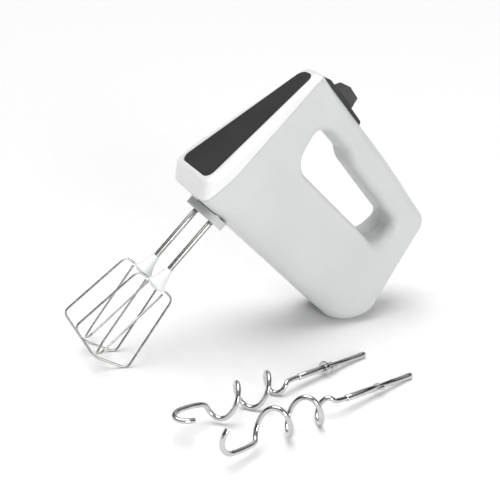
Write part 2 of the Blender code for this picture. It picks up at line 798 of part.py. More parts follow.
def build_stator(mixer, axis):
    half = 21 * mm
    tall = 17.6 * mm
    core = add_object("stator_core", box_mesh("stator_core", (58 * mm, -half, motor_axis_z - tall),
                                              (88 * mm, half, motor_axis_z + tall)), lamination(), mixer)
    bore = cylinder_mesh("stator_bore", (55 * mm, 0, motor_axis_z), (91 * mm, 0, motor_axis_z),
                         14.3 * mm, 28)
    cut(core, cutter("stator_bore", bore, mixer))
    slots = box_mesh("stator_slots", (55 * mm, -19 * mm, motor_axis_z - 8.5 * mm),
                     (91 * mm, 19 * mm, motor_axis_z + 8.5 * mm))
    cut(core, cutter("stator_slots", slots, mixer))
    for sign, word in ((1, "upper"), (-1, "lower")):
        build_field_coil(mixer, sign, word)


def build_field_coil(mixer, sign, word):
    """Saddle coil: two legs in the stator's slots, and an arch over each end of the armature."""
    points = []
    for x, direction in ((53.0, 1), (93.0, -1)):
        for step in range(9):
            angle = math.radians(20 + 140 * step / 8)
            if direction < 0:
                angle = math.pi - angle
            points.append(Vector((x * mm, 16.6 * mm * math.cos(angle),
                                  motor_axis_z + sign * (16.6 * mm * math.sin(angle) - 0.6 * mm))))
    tube_object(f"{word}_field_coil", points, 2.2 * mm, copper(), mixer, cyclic=True)


def build_brushes(mixer):
    x = 101.0 * mm
    for side, word in ((-1, "left"), (1, "right")):
        ends = sorted((side * 8.4 * mm, side * 15.0 * mm))
        brush = box_mesh(f"{word}_brush", (x - 2.5 * mm, ends[0], motor_axis_z - 3 * mm),
                         (x + 2.5 * mm, ends[1], motor_axis_z + 3 * mm))
        add_object(f"{word}_brush", brush, carbon(), mixer)
        ends = sorted((side * 10.0 * mm, side * 22.0 * mm))
        holder = add_object(f"{word}_brush_holder",
                            box_mesh(f"{word}_brush_holder", (x - 4.4 * mm, ends[0], motor_axis_z - 5 * mm),
                                     (x + 4.4 * mm, ends[1], motor_axis_z + 5 * mm)), black_plastic(), mixer)
        bore = box_mesh("brush_bore", (x - 2.9 * mm, -30 * mm, motor_axis_z - 3.4 * mm),
                        (x + 2.9 * mm, 30 * mm, motor_axis_z + 3.4 * mm))
        cut(holder, cutter(f"{word}_brush_bore", bore, mixer))


def build_electrics(mixer):
    block = box_mesh("terminal_block", (128 * mm, -9 * mm, 30 * mm), (146 * mm, 9 * mm, 42 * mm))
    add_object("terminal_block", block, nylon(), mixer)
    bush = extruded_mesh("cord_inlet_bush", circle(5.2 * mm, (0.0, inlet_z)), 0, 171.0 * mm, 179.0 * mm,
                         [circle(3.2 * mm, (0.0, inlet_z))])
    add_object("cord_inlet_bush", bush, black_plastic(), mixer)


# Beaters.

def beater_directions():
    """The wide loop's direction, and the crossed loop's, in the mixer's XY plane."""
    wide = Vector((math.cos(beater_phase), -math.sin(beater_phase), 0.0))
    across = Vector((-math.sin(beater_phase), -math.cos(beater_phase), 0.0))
    return wide, across


def opposite(point):
    """The point's mirror through the beater's axis."""
    return Vector((-point.x, -point.y, point.z))


def wide_loop_path():
    """The wide loop from rim to rim about its own axis: shoulders, flaring legs, shallow V."""
    wide = beater_directions()[0]
    up = Vector((0.0, 0.0, 1.0))
    half = [wide * radius * mm + up * (beater_disc_z + height * mm)
            for radius, height in ((9.3, -0.5), (18.2, -0.9), (27.4, -67.3))]
    foot = up * beater_tip_z
    return rounded_run(half + [foot] + [opposite(point) for point in half[::-1]], 5.5 * mm)


def crossed_loop_path():
    """The crossed loop: legs leave the rim beside the wide loop and swing a quarter turn."""
    wide, across = beater_directions()
    up = Vector((0.0, 0.0, 1.0))
    start = (wide * 8.2 + across * 3.6) * mm + up * (beater_disc_z - 3.2 * mm)
    corner = (-wide * 4.5 + across * 25.3) * mm + up * (beater_disc_z - 65.8 * mm)
    foot = up * (beater_tip_z + 2.9 * mm)
    return rounded_run([start, corner, foot, opposite(corner), opposite(start)], 5.0 * mm)


def rounded_run(points, reach):
    """Straight runs joined by short curves that start reach before each inner corner."""
    result = [points[0]]
    for before, here, after in zip(points, points[1:], points[2:]):
        first = here + (before - here).normalized() * reach
        last = here + (after - here).normalized() * reach
        for step in range(5):
            t = step / 4
            result.append(first * (1 - t) ** 2 + here * 2 * t * (1 - t) + last * t * t)
    result.append(points[-1])
    return result


def build_beater(mixer, side, word):
    frame = empty(f"{word}_beater_axis", mixer, Matrix.Translation((0, side * spindle_spacing / 2, 0)))
    stem_top = 38.0 * mm
    stem_end = -62.4 * mm
    cone_top = -49.5 * mm
    turned_object(f"{word}_beater_stem", [(0, stem_top), (1.6 * mm, stem_top),
                                          (stem_radius, stem_top - 1 * mm),
                                          (stem_radius, stem_end), (0, stem_end)], chrome(), frame, steps=16)
    disc = beater_disc_z
    bore = stem_radius + gap
    bore_end = stem_end - gap
    turned_object(f"{word}_beater_hub", [(0, bore_end), (bore, bore_end), (bore, cone_top),
                                         (3.4 * mm, cone_top),
                                         (3.9 * mm, cone_top - 4 * mm), (5.2 * mm, disc + 6 * mm),
                                         (8.3 * mm, disc + 1 * mm), (8.6 * mm, disc - 0.4 * mm),
                                         (7.0 * mm, disc - 2.2 * mm), (3.6 * mm, disc - 3.7 * mm),
                                         (0, disc - 4.2 * mm)], hub_white(), frame)
    tube_object(f"{word}_wide_loop", wide_loop_path(), beater_wire_radius, chrome(), frame)
    tube_object(f"{word}_crossed_loop", crossed_loop_path(), beater_wire_radius, chrome(), frame)


# Dough hooks, lying on the floor beside the mixer.

def hook_path(side_sign, first_top, pitch, wire_start, tip_side, tip_sweep):
    """Wire of a hook in mm, as (along, across, up) from its stem's outer end.

    side_sign is the hand of the helix, first_top the place of its first crest, and tip_side the
    unit (across, up) on which the helix ends. The tip bends back through tip_sweep degrees.
    """
    points = [Vector((hook_stem_length / mm + 0.3, 0.0, 0.0)), Vector((wire_start, 0.0, 0.0))]
    last_turn = math.atan2(side_sign * tip_side[0], tip_side[1])
    last_along = first_top + pitch * (last_turn / (2 * math.pi) + 2.0)
    steps = math.ceil((last_along - wire_start) / pitch * 15)
    for step in range(1, steps + 1):
        along = wire_start + (last_along - wire_start) * step / steps
        turn = 2 * math.pi * (along - first_top) / pitch
        reach = min(1.0, (along - wire_start) / hook_rise)
        points.append(Vector((along, side_sign * hook_side_radius * reach * math.sin(turn),
                              hook_radius * reach * math.cos(turn))))
    centre = last_along + hook_tip_run
    for step in range(10):
        turn = math.radians(tip_sweep) * step / 9
        along = centre + hook_radius * math.sin(turn)
        points.append(Vector((along, tip_side[0] * hook_side_radius * math.cos(turn),
                              tip_side[1] * hook_radius * math.cos(turn))))
    return points


def hook_matrix(stem_end, path):
    """Places a hook so that its stem's end and its wire's lowest bend both touch z = 0."""
    pitch = 0.0
    for _ in range(20):
        lowest = min(path, key=lambda point: point.x * math.sin(pitch) + point.z * math.cos(pitch))
        rise = hook_wire_radius / mm - hook_stem_radius / mm * math.cos(pitch) - lowest.z * math.cos(pitch)
        pitch = math.asin(rise / lowest.x)
    height = hook_stem_radius * math.cos(pitch)
    place = Matrix.Translation((stem_end[0] * mm, stem_end[1] * mm, height))
    heading = Matrix.Rotation(math.radians(180.0 + hook_heading), 4, "Z")
    return place @ heading @ Matrix.Rotation(-pitch, 4, "Y")


def build_hook(word, parent, stem_end, path):
    """Hook frame: +X from the stem's end to the tip, +Y towards the left side, +Z up."""
    frame = empty(f"{word}_hook_frame", parent, hook_matrix(stem_end, path))
    axis = empty(f"{word}_hook_axis", frame, Matrix.Rotation(math.pi / 2, 4, "Y"))
    radius = hook_stem_radius
    stem = turned_object(f"{word}_hook_stem", [(0, hook_stem_length), (radius - 0.5 * mm, hook_stem_length),
                                               (radius, hook_stem_length - 0.6 * mm), (radius, 0.7 * mm),
                                               (radius - 0.7 * mm, 0), (0, 0)], chrome(), axis, steps=16)
    lug = cutter(f"{word}_hook_lugs", box_mesh("lugs", (-1.1 * mm, -3.9 * mm, 36 * mm),
                                               (1.1 * mm, 3.9 * mm, 41.5 * mm)), axis)
    cut(stem, lug, "UNION")
    tube_object(f"{word}_hook_wire", [point * mm for point in path], hook_wire_radius, chrome(), frame)
    return axis


def build_hooks(root):
    left = hook_path(-1.0, 119.4, 31.2, 88.5, (0.0, -1.0), 135.0)
    right = hook_path(1.0, 111.0, 30.5, 89.0, (-1.0, 0.0), 170.0)
    build_hook("left", root, left_hook_end, left)
    axis = build_hook("right", root, right_hook_end, right)
    turned_object("right_hook_disc", ring_profile(hook_stem_radius + gap, 5.6 * mm, 46.3 * mm, 48.8 * mm),
                  chrome(), axis)


def main():
    root = empty("object_origin", None, Matrix.Identity(4))
    mixer = empty("mixer_frame", root, lean_matrix())
    front_frame = empty("front_frame", mixer, Matrix.Translation(front_foot)
                        @ Matrix.Rotation(front_lean, 4, "Y"))
    top_frame = empty("top_frame", mixer, Matrix.Translation(top_point)
                      @ Matrix.Rotation(top_slope, 4, "Y"))
    build_housing(mixer, front_frame, top_frame)
    build_selector(top_frame)
    build_screws(mixer)
    build_collar(mixer)
    build_gearbox(mixer)
    for side, word in ((-1, "left"), (1, "right")):
        build_spindle(mixer, side, word)
        build_beater(mixer, side, word)
    build_ejector(mixer)
    build_motor(mixer)
    build_electrics(mixer)
    build_hooks(root)
    centre_on_floor(root)


clear_scene()
parts = make_collection("hand_mixer")
cutters = make_collection("cutters")
main()
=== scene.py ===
import json
import math

import bmesh
import bpy
from mathutils import Matrix, Vector


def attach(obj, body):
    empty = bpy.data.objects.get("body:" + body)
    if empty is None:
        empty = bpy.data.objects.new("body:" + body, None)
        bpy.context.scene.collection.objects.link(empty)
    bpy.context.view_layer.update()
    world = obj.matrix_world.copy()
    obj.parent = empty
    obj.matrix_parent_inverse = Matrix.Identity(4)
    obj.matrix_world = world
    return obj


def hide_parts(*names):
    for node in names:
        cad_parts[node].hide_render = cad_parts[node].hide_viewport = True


mm = 0.001

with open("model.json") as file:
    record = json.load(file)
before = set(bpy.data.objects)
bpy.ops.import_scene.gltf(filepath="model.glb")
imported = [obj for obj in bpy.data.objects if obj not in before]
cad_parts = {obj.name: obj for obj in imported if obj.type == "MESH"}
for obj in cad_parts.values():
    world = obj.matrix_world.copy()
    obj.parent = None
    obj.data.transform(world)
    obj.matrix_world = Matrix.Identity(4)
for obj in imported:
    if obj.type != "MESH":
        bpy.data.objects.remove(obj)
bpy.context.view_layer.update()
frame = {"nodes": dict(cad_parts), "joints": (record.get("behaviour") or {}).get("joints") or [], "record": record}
nodes = frame["nodes"]
print("frame loaded:", len(nodes), "CAD nodes")


# where the mixer leans: its axes come from the joints, its origin from the collar's mount

def jointNamed(name):
    return next(joint for joint in frame["joints"] if joint["name"] == name)


def mountNamed(name):
    return next(mount for mount in frame["record"]["mounts"] if mount["name"] == name)


spindleAxis = Vector(jointNamed("left_drive_spin")["axis"])
rearAxis = Vector(jointNamed("motor_spin")["axis"])
collarPlace = Vector(mountNamed("collar_face")["pos_m"])
mixerMatrix = Matrix((rearAxis, spindleAxis.cross(rearAxis), spindleAxis)).transposed().to_4x4()
mixerMatrix.translation = collarPlace

lean = {
    # a spot on the mixer in mm, and the lean about its sideways axis in degrees
    "front": ((-35.5, 0.0, 23.3), 10.4),
    "top": ((0.0, 0.0, 146.7), 5.3),
}


def leaning(spot, angle):
    return mixerMatrix @ Matrix.Translation(Vector(spot) * mm) @ Matrix.Rotation(math.radians(angle), 4, "Y")


frontMatrix = leaning(*lean["front"])
topMatrix = leaning(*lean["top"])


# shader helpers

class Wire:
    # one output socket, with the arithmetic that the looks below use

    def __init__(self, look, socket):
        self.look = look
        self.socket = socket

    def maths(self, operation, first, second):
        return self.look.node("ShaderNodeMath", {"operation": operation}, {0: first, 1: second})

    def __add__(self, other):
        return self.maths("ADD", self, other)

    __radd__ = __add__

    def __mul__(self, other):
        return self.maths("MULTIPLY", self, other)

    __rmul__ = __mul__


class Look:
    # one material and its node tree

    def __init__(self, name):
        self.material = bpy.data.materials.new(name)
        self.material.use_nodes = True
        self.tree = self.material.node_tree
        self.tree.nodes.clear()
        self.shader = self.tree.nodes.new("ShaderNodeBsdfPrincipled")
        output = self.tree.nodes.new("ShaderNodeOutputMaterial")
        self.tree.links.new(self.shader.outputs[0], output.inputs["Surface"])

    def fill(self, socket, value):
        if isinstance(value, Wire):
            self.tree.links.new(value.socket, socket)
        else:
            socket.default_value = value

    def node(self, kind, settings=None, sockets=None, output=0):
        made = self.tree.nodes.new(kind)
        for key, value in (settings or {}).items():
            setattr(made, key, value)
        for key, value in (sockets or {}).items():
            self.fill(made.inputs[key], value)
        return Wire(self, made.outputs[output])

    def coordinates(self, scale=(1.0, 1.0, 1.0), turn=(0.0, 0.0, 0.0)):
        place = self.node("ShaderNodeTexCoord", output=3)
        return self.node("ShaderNodeMapping", {}, {"Vector": place, "Scale": scale, "Rotation": turn})

    def noise(self, scale, detail=3.0, roughness=0.55, where=None):
        place = where or self.coordinates()
        values = {"Vector": place, "Scale": scale, "Detail": detail, "Roughness": roughness}
        return self.node("ShaderNodeTexNoise", {}, values)

    def between(self, value, low, high):
        # value from 0.3 to 0.7, where noise lies, stretched onto low to high
        values = {"Value": value, "From Min": 0.3, "From Max": 0.7, "To Min": low, "To Max": high}
        return self.node("ShaderNodeMapRange", {"clamp": True}, values)

    def blend(self, factor, first, second):
        values = {"Factor": factor, 6: (*first, 1.0), 7: (*second, 1.0)}
        return self.node("ShaderNodeMix", {"data_type": "RGBA"}, values, output=2)

    def bump(self, height, strength, distance, normal=None):
        values = {"Height": height, "Strength": strength, "Distance": distance}
        if normal:
            values["Normal"] = normal
        return self.node("ShaderNodeBump", {}, values)

    def finish(self, **sockets):
        # baseColor fills the shader's Base Color, and so on
        for name, value in sockets.items():
            words = "".join(" " + letter if letter.isupper() else letter for letter in name)
            self.fill(self.shader.inputs[words.title().strip()], value)
        return self.material


# looks

moulding = {
    "mottleDetail": 4.0,
    "grainDetail": 2.0,
    "grainRoughness": 0.7,
    "grainDepth": 0.00004,
    "waveScale": 55.0,
    "waveDetail": 2.0,
    "waveStrength": 0.06,
    "waveDepth": 0.0004,
    "smoother": 0.04,
    "rougher": 0.05,
    "coatRoughness": 0.12,
}


def mouldedPlastic(name, settings):
    # injection moulding: faint flow mottling, fine skin, soft sheen
    look = Look(name)
    mottle = look.noise(settings["mottleScale"], moulding["mottleDetail"])
    skin = look.noise(settings["grainScale"], moulding["grainDetail"], moulding["grainRoughness"])
    waves = look.noise(moulding["waveScale"], moulding["waveDetail"])
    colour = look.blend(look.between(mottle, 0.0, 1.0), settings["dark"], settings["light"])
    low = settings["roughness"] - moulding["smoother"]
    high = settings["roughness"] + moulding["rougher"]
    roughness = look.between(mottle * 0.5 + skin * 0.5, low, high)
    fine = look.bump(skin, settings["grain"], moulding["grainDepth"])
    normal = look.bump(waves, moulding["waveStrength"], moulding["waveDepth"], fine)
    return look.finish(baseColor=colour, roughness=roughness, normal=normal,
                       coatWeight=settings["coat"], coatRoughness=moulding["coatRoughness"])


plating = {
    "hazeScale": 260.0,
    "hazeDetail": 4.0,
    "lineScale": 900.0,
    "lineDetail": 3.0,
    "lineStretch": (1.0, 1.0, 0.12),
    "lineStrength": 0.05,
    "lineDepth": 0.00005,
    "smoother": 0.03,
    "rougher": 0.07,
}


def platedSteel(name, settings):
    # bright plating over drawn wire: faint haze and fine draw lines
    look = Look(name)
    haze = look.noise(plating["hazeScale"], plating["hazeDetail"])
    along = look.coordinates(plating["lineStretch"])
    lines = look.noise(plating["lineScale"], plating["lineDetail"], where=along)
    colour = look.blend(look.between(haze, 0.0, 1.0), settings["dark"], settings["light"])
    low = settings["roughness"] - plating["smoother"]
    high = settings["roughness"] + plating["rougher"]
    roughness = look.between(haze * 0.6 + lines * 0.4, low, high)
    normal = look.bump(lines, plating["lineStrength"], plating["lineDepth"])
    return look.finish(baseColor=colour, roughness=roughness, metallic=1.0, normal=normal)


windings = {
    "dark": (0.45, 0.17, 0.06),
    "light": (0.72, 0.34, 0.14),
    "toneScale": 160.0,
    "roughness": (0.25, 0.4),
    "turnScale": 420.0,
    "turnDistortion": 0.6,
    "turnDetail": 1.0,
    "turnStrength": 0.5,
    "turnDepth": 0.0003,
}


def woundCopper():
    # enamelled turns lying side by side
    look = Look("copperWindings")
    bands = {"wave_type": "BANDS", "bands_direction": "Y"}
    values = {"Vector": look.coordinates(), "Scale": windings["turnScale"],
              "Distortion": windings["turnDistortion"], "Detail": windings["turnDetail"]}
    turns = look.node("ShaderNodeTexWave", bands, values, output=1)
    tone = look.noise(windings["toneScale"])
    colour = look.blend(look.between(tone, 0.0, 1.0), windings["dark"], windings["light"])
    roughness = look.between(tone, *windings["roughness"])
    normal = look.bump(turns, windings["turnStrength"], windings["turnDepth"])
    return look.finish(baseColor=colour, roughness=roughness, metallic=1.0, normal=normal)


stack = {
    "dark": (0.20, 0.20, 0.22),
    "light": (0.38, 0.38, 0.40),
    "toneScale": 120.0,
    "roughness": (0.4, 0.6),
    "sheetScale": 330.0,
    "sheetTurn": 45.0,
    "sheetStrength": 0.4,
    "sheetDepth": 0.0002,
}


def stackedSheet():
    # pressed steel sheets seen on edge
    look = Look("laminatedSteel")
    bands = {"wave_type": "BANDS", "bands_direction": "X"}
    place = look.coordinates(turn=(0.0, math.radians(stack["sheetTurn"]), 0.0))
    values = {"Vector": place, "Scale": stack["sheetScale"]}
    sheets = look.node("ShaderNodeTexWave", bands, values, output=1)
    tone = look.noise(stack["toneScale"])
    colour = look.blend(look.between(tone, 0.0, 1.0), stack["dark"], stack["light"])
    roughness = look.between(tone, *stack["roughness"])
    normal = look.bump(sheets, stack["sheetStrength"], stack["sheetDepth"])
    return look.finish(baseColor=colour, roughness=roughness, metallic=1.0, normal=normal)


shellGrey = mouldedPlastic("shellGrey", {
    "dark": (0.575, 0.59, 0.585), "light": (0.625, 0.64, 0.635),
    "mottleScale": 14.0, "grainScale": 2600.0, "grain": 0.10, "roughness": 0.42, "coat": 0.15,
})
bezelWhite = mouldedPlastic("bezelWhite", {
    "dark": (0.79, 0.79, 0.785), "light": (0.84, 0.84, 0.835),
    "mottleScale": 18.0, "grainScale": 2400.0, "grain": 0.06, "roughness": 0.32, "coat": 0.25,
})
charcoal = mouldedPlastic("charcoal", {
    "dark": (0.011, 0.0115, 0.0125), "light": (0.019, 0.0195, 0.021),
    "mottleScale": 30.0, "grainScale": 1900.0, "grain": 0.45, "roughness": 0.5, "coat": 0.0,
})
knobCharcoal = mouldedPlastic("knobCharcoal", {
    "dark": (0.034, 0.034, 0.036), "light": (0.050, 0.050, 0.052),
    "mottleScale": 60.0, "grainScale": 1700.0, "grain": 0.5, "roughness": 0.5, "coat": 0.0,
})
collarGrey = mouldedPlastic("collarGrey", {
    "dark": (0.50, 0.51, 0.51), "light": (0.58, 0.59, 0.59),
    "mottleScale": 30.0, "grainScale": 2200.0, "grain": 0.15, "roughness": 0.45, "coat": 0.05,
})
hubWhite = mouldedPlastic("hubWhite", {
    "dark": (0.76, 0.785, 0.77), "light": (0.83, 0.85, 0.84),
    "mottleScale": 60.0, "grainScale": 2400.0, "grain": 0.08, "roughness": 0.35, "coat": 0.2,
})
nylon = mouldedPlastic("naturalNylon", {
    "dark": (0.70, 0.68, 0.60), "light": (0.80, 0.78, 0.71),
    "mottleScale": 40.0, "grainScale": 1800.0, "grain": 0.2, "roughness": 0.5, "coat": 0.0,
})
blackPlastic = mouldedPlastic("blackMoulding", {
    "dark": (0.022, 0.022, 0.024), "light": (0.035, 0.035, 0.037),
    "mottleScale": 50.0, "grainScale": 1800.0, "grain": 0.3, "roughness": 0.5, "coat": 0.0,
})
carbon = mouldedPlastic("sinteredCarbon", {
    "dark": (0.02, 0.02, 0.02), "light": (0.045, 0.045, 0.045),
    "mottleScale": 300.0, "grainScale": 1500.0, "grain": 0.6, "roughness": 0.68, "coat": 0.0,
})
chrome = platedSteel("beaterChrome", {
    "dark": (0.34, 0.335, 0.32), "light": (0.46, 0.455, 0.44),
    "roughness": 0.24,
})
hookChrome = platedSteel("hookChrome", {
    "dark": (0.50, 0.50, 0.50), "light": (0.64, 0.64, 0.64),
    "roughness": 0.11,
})
steel = platedSteel("turnedSteel", {
    "dark": (0.42, 0.42, 0.44), "light": (0.55, 0.55, 0.57),
    "roughness": 0.3,
})
copper = woundCopper()
lamination = stackedSheet()
slotLooks = {"steel": steel, "lamination": lamination, "copper": copper, "carbon": carbon, "nylon": nylon,
             "black_plastic": blackPlastic, "charcoal": charcoal, "chrome": chrome}
print("looks made:", len(bpy.data.materials))


# mesh helpers

def smoothStep(value, low, high):
    part = min(1.0, max(0.0, (value - low) / (high - low)))
    return part * part * (3.0 - 2.0 * part)


def meshFrom(bm, name, matrix, sharpAngle=35.0):
    bmesh.ops.recalc_face_normals(bm, faces=bm.faces)
    bm.transform(matrix)
    mesh = bpy.data.meshes.new(name)
    bm.to_mesh(mesh)
    bm.free()
    mesh.shade_smooth()
    mesh.set_sharp_from_angle(angle=math.radians(sharpAngle))
    return mesh


def addPiece(name, mesh, look=None):
    piece = bpy.data.objects.new(name, mesh)
    bpy.context.scene.collection.objects.link(piece)
    if look:
        mesh.materials.clear()
        mesh.materials.append(look)
    return piece


def bakeModifiers(piece):
    bpy.context.view_layer.update()
    evaluated = piece.evaluated_get(bpy.context.evaluated_depsgraph_get())
    mesh = bpy.data.meshes.new_from_object(evaluated)
    piece.modifiers.clear()
    piece.data = mesh
    return piece


def cutWith(piece, tool, operation="DIFFERENCE"):
    change = piece.modifiers.new(tool.name, "BOOLEAN")
    change.operation = operation
    change.solver = "EXACT"
    change.object = tool


def bevelEdges(piece, width, segments, angle=40.0):
    change = piece.modifiers.new("softEdges", "BEVEL")
    change.width = width
    change.segments = segments
    change.limit_method = "ANGLE"
    change.angle_limit = math.radians(angle)


def place(piece, body, slot, *replaced):
    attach(piece, body)
    if replaced:
        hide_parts(*replaced)
    return piece


def roundedOutline(corners, arcStep=6.0):
    points = []
    for index, (x, z, radius) in enumerate(corners):
        corner = Vector((x, z))
        before = (Vector(corners[index - 1][:2]) - corner).normalized()
        after = (Vector(corners[(index + 1) % len(corners)][:2]) - corner).normalized()
        half = before.angle(after) / 2
        centre = corner + (before + after).normalized() * radius / math.sin(half)
        start = corner + before * radius / math.tan(half) - centre
        end = corner + after * radius / math.tan(half) - centre
        first = math.atan2(start.y, start.x)
        sweep = (math.atan2(end.y, end.x) - first + math.pi) % (2 * math.pi) - math.pi
        pieces = max(2, math.ceil(abs(sweep) / math.radians(arcStep)))
        for step in range(pieces + 1):
            angle = first + sweep * step / pieces
            points.append(centre + Vector((math.cos(angle), math.sin(angle))) * radius)
    return points


def extruded(outline, axis, low, high, holes=()):
    # prism along an axis; the outline and holes are given in the other two, in mm
    bm = bmesh.new()
    others = [index for index in range(3) if index != axis]
    edges = []
    for ring in [outline, *holes]:
        vertices = []
        for first, second in ring:
            spot = [0.0, 0.0, 0.0]
            spot[others[0]] = first * mm
            spot[others[1]] = second * mm
            spot[axis] = low * mm
            vertices.append(bm.verts.new(spot))
        edges += [bm.edges.new((vertices[index - 1], vertices[index])) for index in range(len(vertices))]
    bmesh.ops.triangle_fill(bm, edges=edges, use_beauty=True)
    shift = Vector((0.0, 0.0, 0.0))
    shift[axis] = (high - low) * mm
    grown = bmesh.ops.extrude_face_region(bm, geom=bm.faces[:])
    moved = [part for part in grown["geom"] if isinstance(part, bmesh.types.BMVert)]
    bmesh.ops.translate(bm, verts=moved, vec=shift)
    if holes:
        return bm
    bmesh.ops.recalc_face_normals(bm, faces=bm.faces)
    for sign in (1.0, -1.0):
        flat = [face for face in bm.faces if face.normal[axis] * sign > 0.99]
        bmesh.ops.dissolve_faces(bm, faces=flat, use_verts=False)
    return bm


def turned(profile, steps=64):
    # solid of revolution about Z; the profile is (radius, height) in mm, from top to bottom
    bm = bmesh.new()
    rings = []
    for radius, height in profile:
        if radius == 0:
            rings.append([bm.verts.new((0.0, 0.0, height * mm))])
            continue
        circle = circleLine(radius, pieces=steps)
        rings.append([bm.verts.new((x * mm, y * mm, height * mm)) for x, y in circle])
    for upper, lower in zip(rings, rings[1:]):
        for step in range(steps):
            after = (step + 1) % steps
            corners = [upper[step % len(upper)], lower[step % len(lower)],
                       lower[after % len(lower)], upper[after % len(upper)]]
            distinct = list(dict.fromkeys(corners))
            if len(distinct) > 2:
                bm.faces.new(distinct)
    if profile[0] == profile[-1]:
        bmesh.ops.remove_doubles(bm, verts=bm.verts, dist=0.0000001)     # a ring closes on itself
    return bm


def circleLine(radius, centre=(0.0, 0.0), pieces=64):
    turns = [2 * math.pi * step / pieces for step in range(pieces)]
    return [(centre[0] + radius * math.cos(turn), centre[1] + radius * math.sin(turn)) for turn in turns]


def boxTool(name, low, high, matrix):
    bm = bmesh.new()
    size = (Vector(high) - Vector(low)) * mm
    middle = (Vector(high) + Vector(low)) / 2 * mm
    stretch = Matrix.Translation(middle) @ Matrix.Diagonal((*size, 1.0))
    bmesh.ops.create_cube(bm, size=1.0, matrix=stretch)
    return addPiece(name, meshFrom(bm, name, matrix))


def rodsTool(name, rods, matrix):
    bm = bmesh.new()
    for low, high, radius in rods:
        start = Vector(low) * mm
        end = Vector(high) * mm
        turn = (end - start).to_track_quat("Z", "Y").to_matrix().to_4x4()
        spot = Matrix.Translation((start + end) / 2) @ turn
        bmesh.ops.create_cone(bm, cap_ends=True, segments=48, radius1=radius * mm, radius2=radius * mm,
                              depth=(end - start).length, matrix=spot)
    return addPiece(name, meshFrom(bm, name, matrix))


# body: a skin from the outer outline, over the side, into the finger opening

body = {
    "outline": [(-37.0, 20.5, 4.5), (-27.5, 7.6, 3.5), (184.5, 4.6, 32.0), (177.6, 129.9, 13.0),
                (92.0, 139.6, 200.0), (-12.6, 147.6, 8.0)],
    "opening": [(18.0, 78.0, 15.0), (146.0, 78.0, 13.0), (144.5, 105.2, 9.0), (68.0, 111.8, 24.0),
                (56.0, 117.5, 12.0), (22.0, 118.3, 13.0)],
    "centre": Vector((82.0, 96.0)),
    "bezelLine": [(-26.9, -20.0), (-26.6, 9.0), (-24.4, 20.0), (-22.0, 37.0), (-9.5, 137.0),
                  (-6.0, 150.0), (-6.0, 175.0)],
    "ahead": -70.0,     # mm, past everything in front of the bezel's line
    "aside": 60.0,      # mm, past everything on either side
    "widest": 32.7,
    "knee": 38.0,
    "bulge": 0.002,
    "taper": 0.18,
    "wall": 2.4,
    "bezelWall": 2.6,
    "seam": 0.15,
    "arcSteps": 9,
    "flatShares": (0.12, 0.35, 0.65, 0.88),
    "creaseAngle": 38.0,
    "spindle": 14.0,    # mm, from the middle plane to each drive socket
    "screws": [(33.4, 21.0), (157.0, 24.0), (156.5, 112.0), (8.6, 108.0)],
}
rounding = {
    # in-plane and sideways reach in mm where the side meets the outer outline
    "upper": (9.0, 10.0),
    "rear": (12.0, 14.0),
    "base": (20.0, 15.0),
    "frontLow": (6.0, 8.0),
    "frontHigh": (7.0, 5.5),
    # from where to where one gives way to the next, in mm
    "rearSpan": (120.0, 160.0),
    "baseSpan": (5.0, 34.0),
    "frontRise": (12.0, 40.0),
    "frontSpan": (-24.0, 4.0),
    # the same round the finger opening, with what the grip and the scoop behind it add
    "opening": (4.0, 4.5),
    "grip": (6.8, 9.0),
    "scoop": (4.0, 6.0),
    "gripSpan": (86.0, 112.0),
    "scoopSpan": (112.0, 146.0),
}


def halfWidth(z):
    # mm from the middle plane to the side, fullest at the knee
    low = body["widest"] - body["bulge"] * max(0.0, body["knee"] - z) ** 2
    return low - body["taper"] * max(0.0, z - body["knee"])


def rayHit(points, direction):
    best = 0.0
    for index, point in enumerate(points):
        first = points[index - 1] - body["centre"]
        edge = point - points[index - 1]
        cross = direction.x * edge.y - direction.y * edge.x
        if abs(cross) < 1e-9:
            continue
        along = (first.x * edge.y - first.y * edge.x) / cross
        part = (first.x * direction.y - first.y * direction.x) / cross
        if along > 0.0 and -1e-6 <= part <= 1.0 + 1e-6:
            best = max(best, along)
    return best


def rayAngles(outlines, coarse=1.5, fine=0.45):
    angles = sorted(math.degrees(math.atan2(*(point - body["centre"]).yx)) % 360.0
                    for outline in outlines for point in outline)
    kept = [angles[0]]
    for angle in angles[1:]:
        if angle - kept[-1] >= fine:
            kept.append(angle)
    filled = []
    for index, angle in enumerate(kept):
        following = kept[index + 1] if index + 1 < len(kept) else kept[0] + 360.0
        pieces = max(1, round((following - angle) / coarse))
        filled += [angle + (following - angle) * step / pieces for step in range(pieces)]
    return [math.radians(angle) for angle in filled]


def mixPair(first, second, share):
    return tuple(a + (b - a) * share for a, b in zip(first, second))


def edgeRounding(point):
    upper = mixPair(rounding["upper"], rounding["rear"], smoothStep(point.x, *rounding["rearSpan"]))
    whole = mixPair(rounding["base"], upper, smoothStep(point.y, *rounding["baseSpan"]))
    front = mixPair(rounding["frontLow"], rounding["frontHigh"], smoothStep(point.y, *rounding["frontRise"]))
    return mixPair(front, whole, smoothStep(point.x, *rounding["frontSpan"]))


def openingRounding(point):
    lift = smoothStep(point.y, *rounding["gripSpan"])
    rear = smoothStep(point.x, *rounding["scoopSpan"]) * (1.0 - lift)
    parts = zip(rounding["opening"], rounding["grip"], rounding["scoop"])
    return tuple(least + grip * lift + scoop * rear for least, grip, scoop in parts)


def ringNormals(ring, rounds=30):
    # outward normals of a closed ring, smoothed round its corners
    count = len(ring)
    normals = []
    for index in range(count):
        along = ring[(index + 1) % count] - ring[index - 1]
        normals.append(Vector((along.y, -along.x)).normalized())
    for _ in range(rounds):
        normals = [(normals[index - 1] + normals[index] * 2 + normals[(index + 1) % count]).normalized()
                   for index in range(count)]
    return normals


